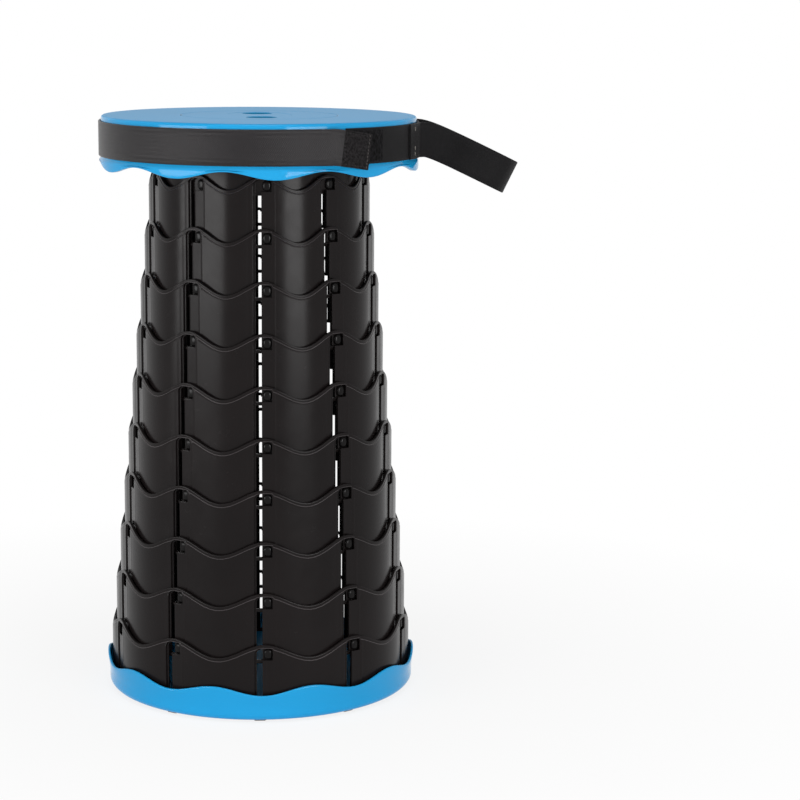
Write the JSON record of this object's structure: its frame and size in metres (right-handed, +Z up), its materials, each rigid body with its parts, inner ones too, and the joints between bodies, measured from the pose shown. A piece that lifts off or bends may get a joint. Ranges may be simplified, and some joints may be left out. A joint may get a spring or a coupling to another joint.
{
  "type": "telescopic folding stool",
  "caption": "Collapsible round stool: slotted plastic rings slide inside one another between a round seat with finger holes and a webbing carry loop, and a shallow round base.",
  "frame": {"origin": "on the floor, on the axis of the rings, at the middle of the base's underside", "axes": "+Z up along the axis of the rings, -Y towards the front, +X towards the carry loop"},
  "size_m": [0.3233, 0.2456, 0.4474],
  "materials": {
    "blue_plastic": "satin gloss, smooth blue moulding",
    "ring_plastic": "near-black satin moulding with a paler lip along each wavy edge",
    "webbing": "charcoal woven webbing",
    "touch_tape": "black hook-and-loop tape",
    "foot_rubber": "matt black rubber"
  },
  "bodies": {
    "base": {"base_tray": "blue_plastic", "foot_pad_01": "foot_rubber", "foot_pad_02": "foot_rubber", "foot_pad_03": "foot_rubber", "foot_pad_04": "foot_rubber", "foot_pad_05": "foot_rubber", "foot_pad_06": "foot_rubber", "foot_pad_07": "foot_rubber", "foot_pad_08": "foot_rubber", "foot_pad_09": "foot_rubber", "foot_pad_10": "foot_rubber", "tier_ring_10": "ring_plastic"},
    "ring_09": {"tier_ring_09": "ring_plastic"},
    "ring_08": {"tier_ring_08": "ring_plastic"},
    "ring_07": {"tier_ring_07": "ring_plastic"},
    "ring_06": {"tier_ring_06": "ring_plastic"},
    "ring_05": {"tier_ring_05": "ring_plastic"},
    "ring_04": {"tier_ring_04": "ring_plastic"},
    "ring_03": {"tier_ring_03": "ring_plastic"},
    "ring_02": {"tier_ring_02": "ring_plastic"},
    "ring_01": {"tier_ring_01": "ring_plastic"},
    "seat": {"hub_ring": "ring_plastic", "seat_shell": "blue_plastic", "centre_cap": "blue_plastic", "seat_strap": "webbing", "loop_strap": "webbing", "carry_loop": "webbing", "front_hook_patch": "touch_tape", "front_fleece_patch": "touch_tape", "rear_hook_patch": "touch_tape", "rear_fleece_patch": "touch_tape"}
  },
  "joints": [
    {"name": "ring_09_slide", "type": "slide", "parent": "base", "child": "ring_09", "axis": [0, 0, 1], "range_m": [-0.0384, 0]},
    {"name": "ring_08_slide", "type": "slide", "parent": "ring_09", "child": "ring_08", "axis": [0, 0, 1], "range_m": [-0.0387, 0]},
    {"name": "ring_07_slide", "type": "slide", "parent": "ring_08", "child": "ring_07", "axis": [0, 0, 1], "range_m": [-0.0387, 0]},
    {"name": "ring_06_slide", "type": "slide", "parent": "ring_07", "child": "ring_06", "axis": [0, 0, 1], "range_m": [-0.0387, 0]},
    {"name": "ring_05_slide", "type": "slide", "parent": "ring_06", "child": "ring_05", "axis": [0, 0, 1], "range_m": [-0.0387, 0]},
    {"name": "ring_04_slide", "type": "slide", "parent": "ring_05", "child": "ring_04", "axis": [0, 0, 1], "range_m": [-0.0387, 0]},
    {"name": "ring_03_slide", "type": "slide", "parent": "ring_04", "child": "ring_03", "axis": [0, 0, 1], "range_m": [-0.0387, 0]},
    {"name": "ring_02_slide", "type": "slide", "parent": "ring_03", "child": "ring_02", "axis": [0, 0, 1], "range_m": [-0.0387, 0]},
    {"name": "ring_01_slide", "type": "slide", "parent": "ring_02", "child": "ring_01", "axis": [0, 0, 1], "range_m": [-0.0387, 0]},
    {"name": "seat_slide", "type": "slide", "parent": "ring_01", "child": "seat", "axis": [0, 0, 1], "range_m": [-0.0345, 0]}
  ]
}
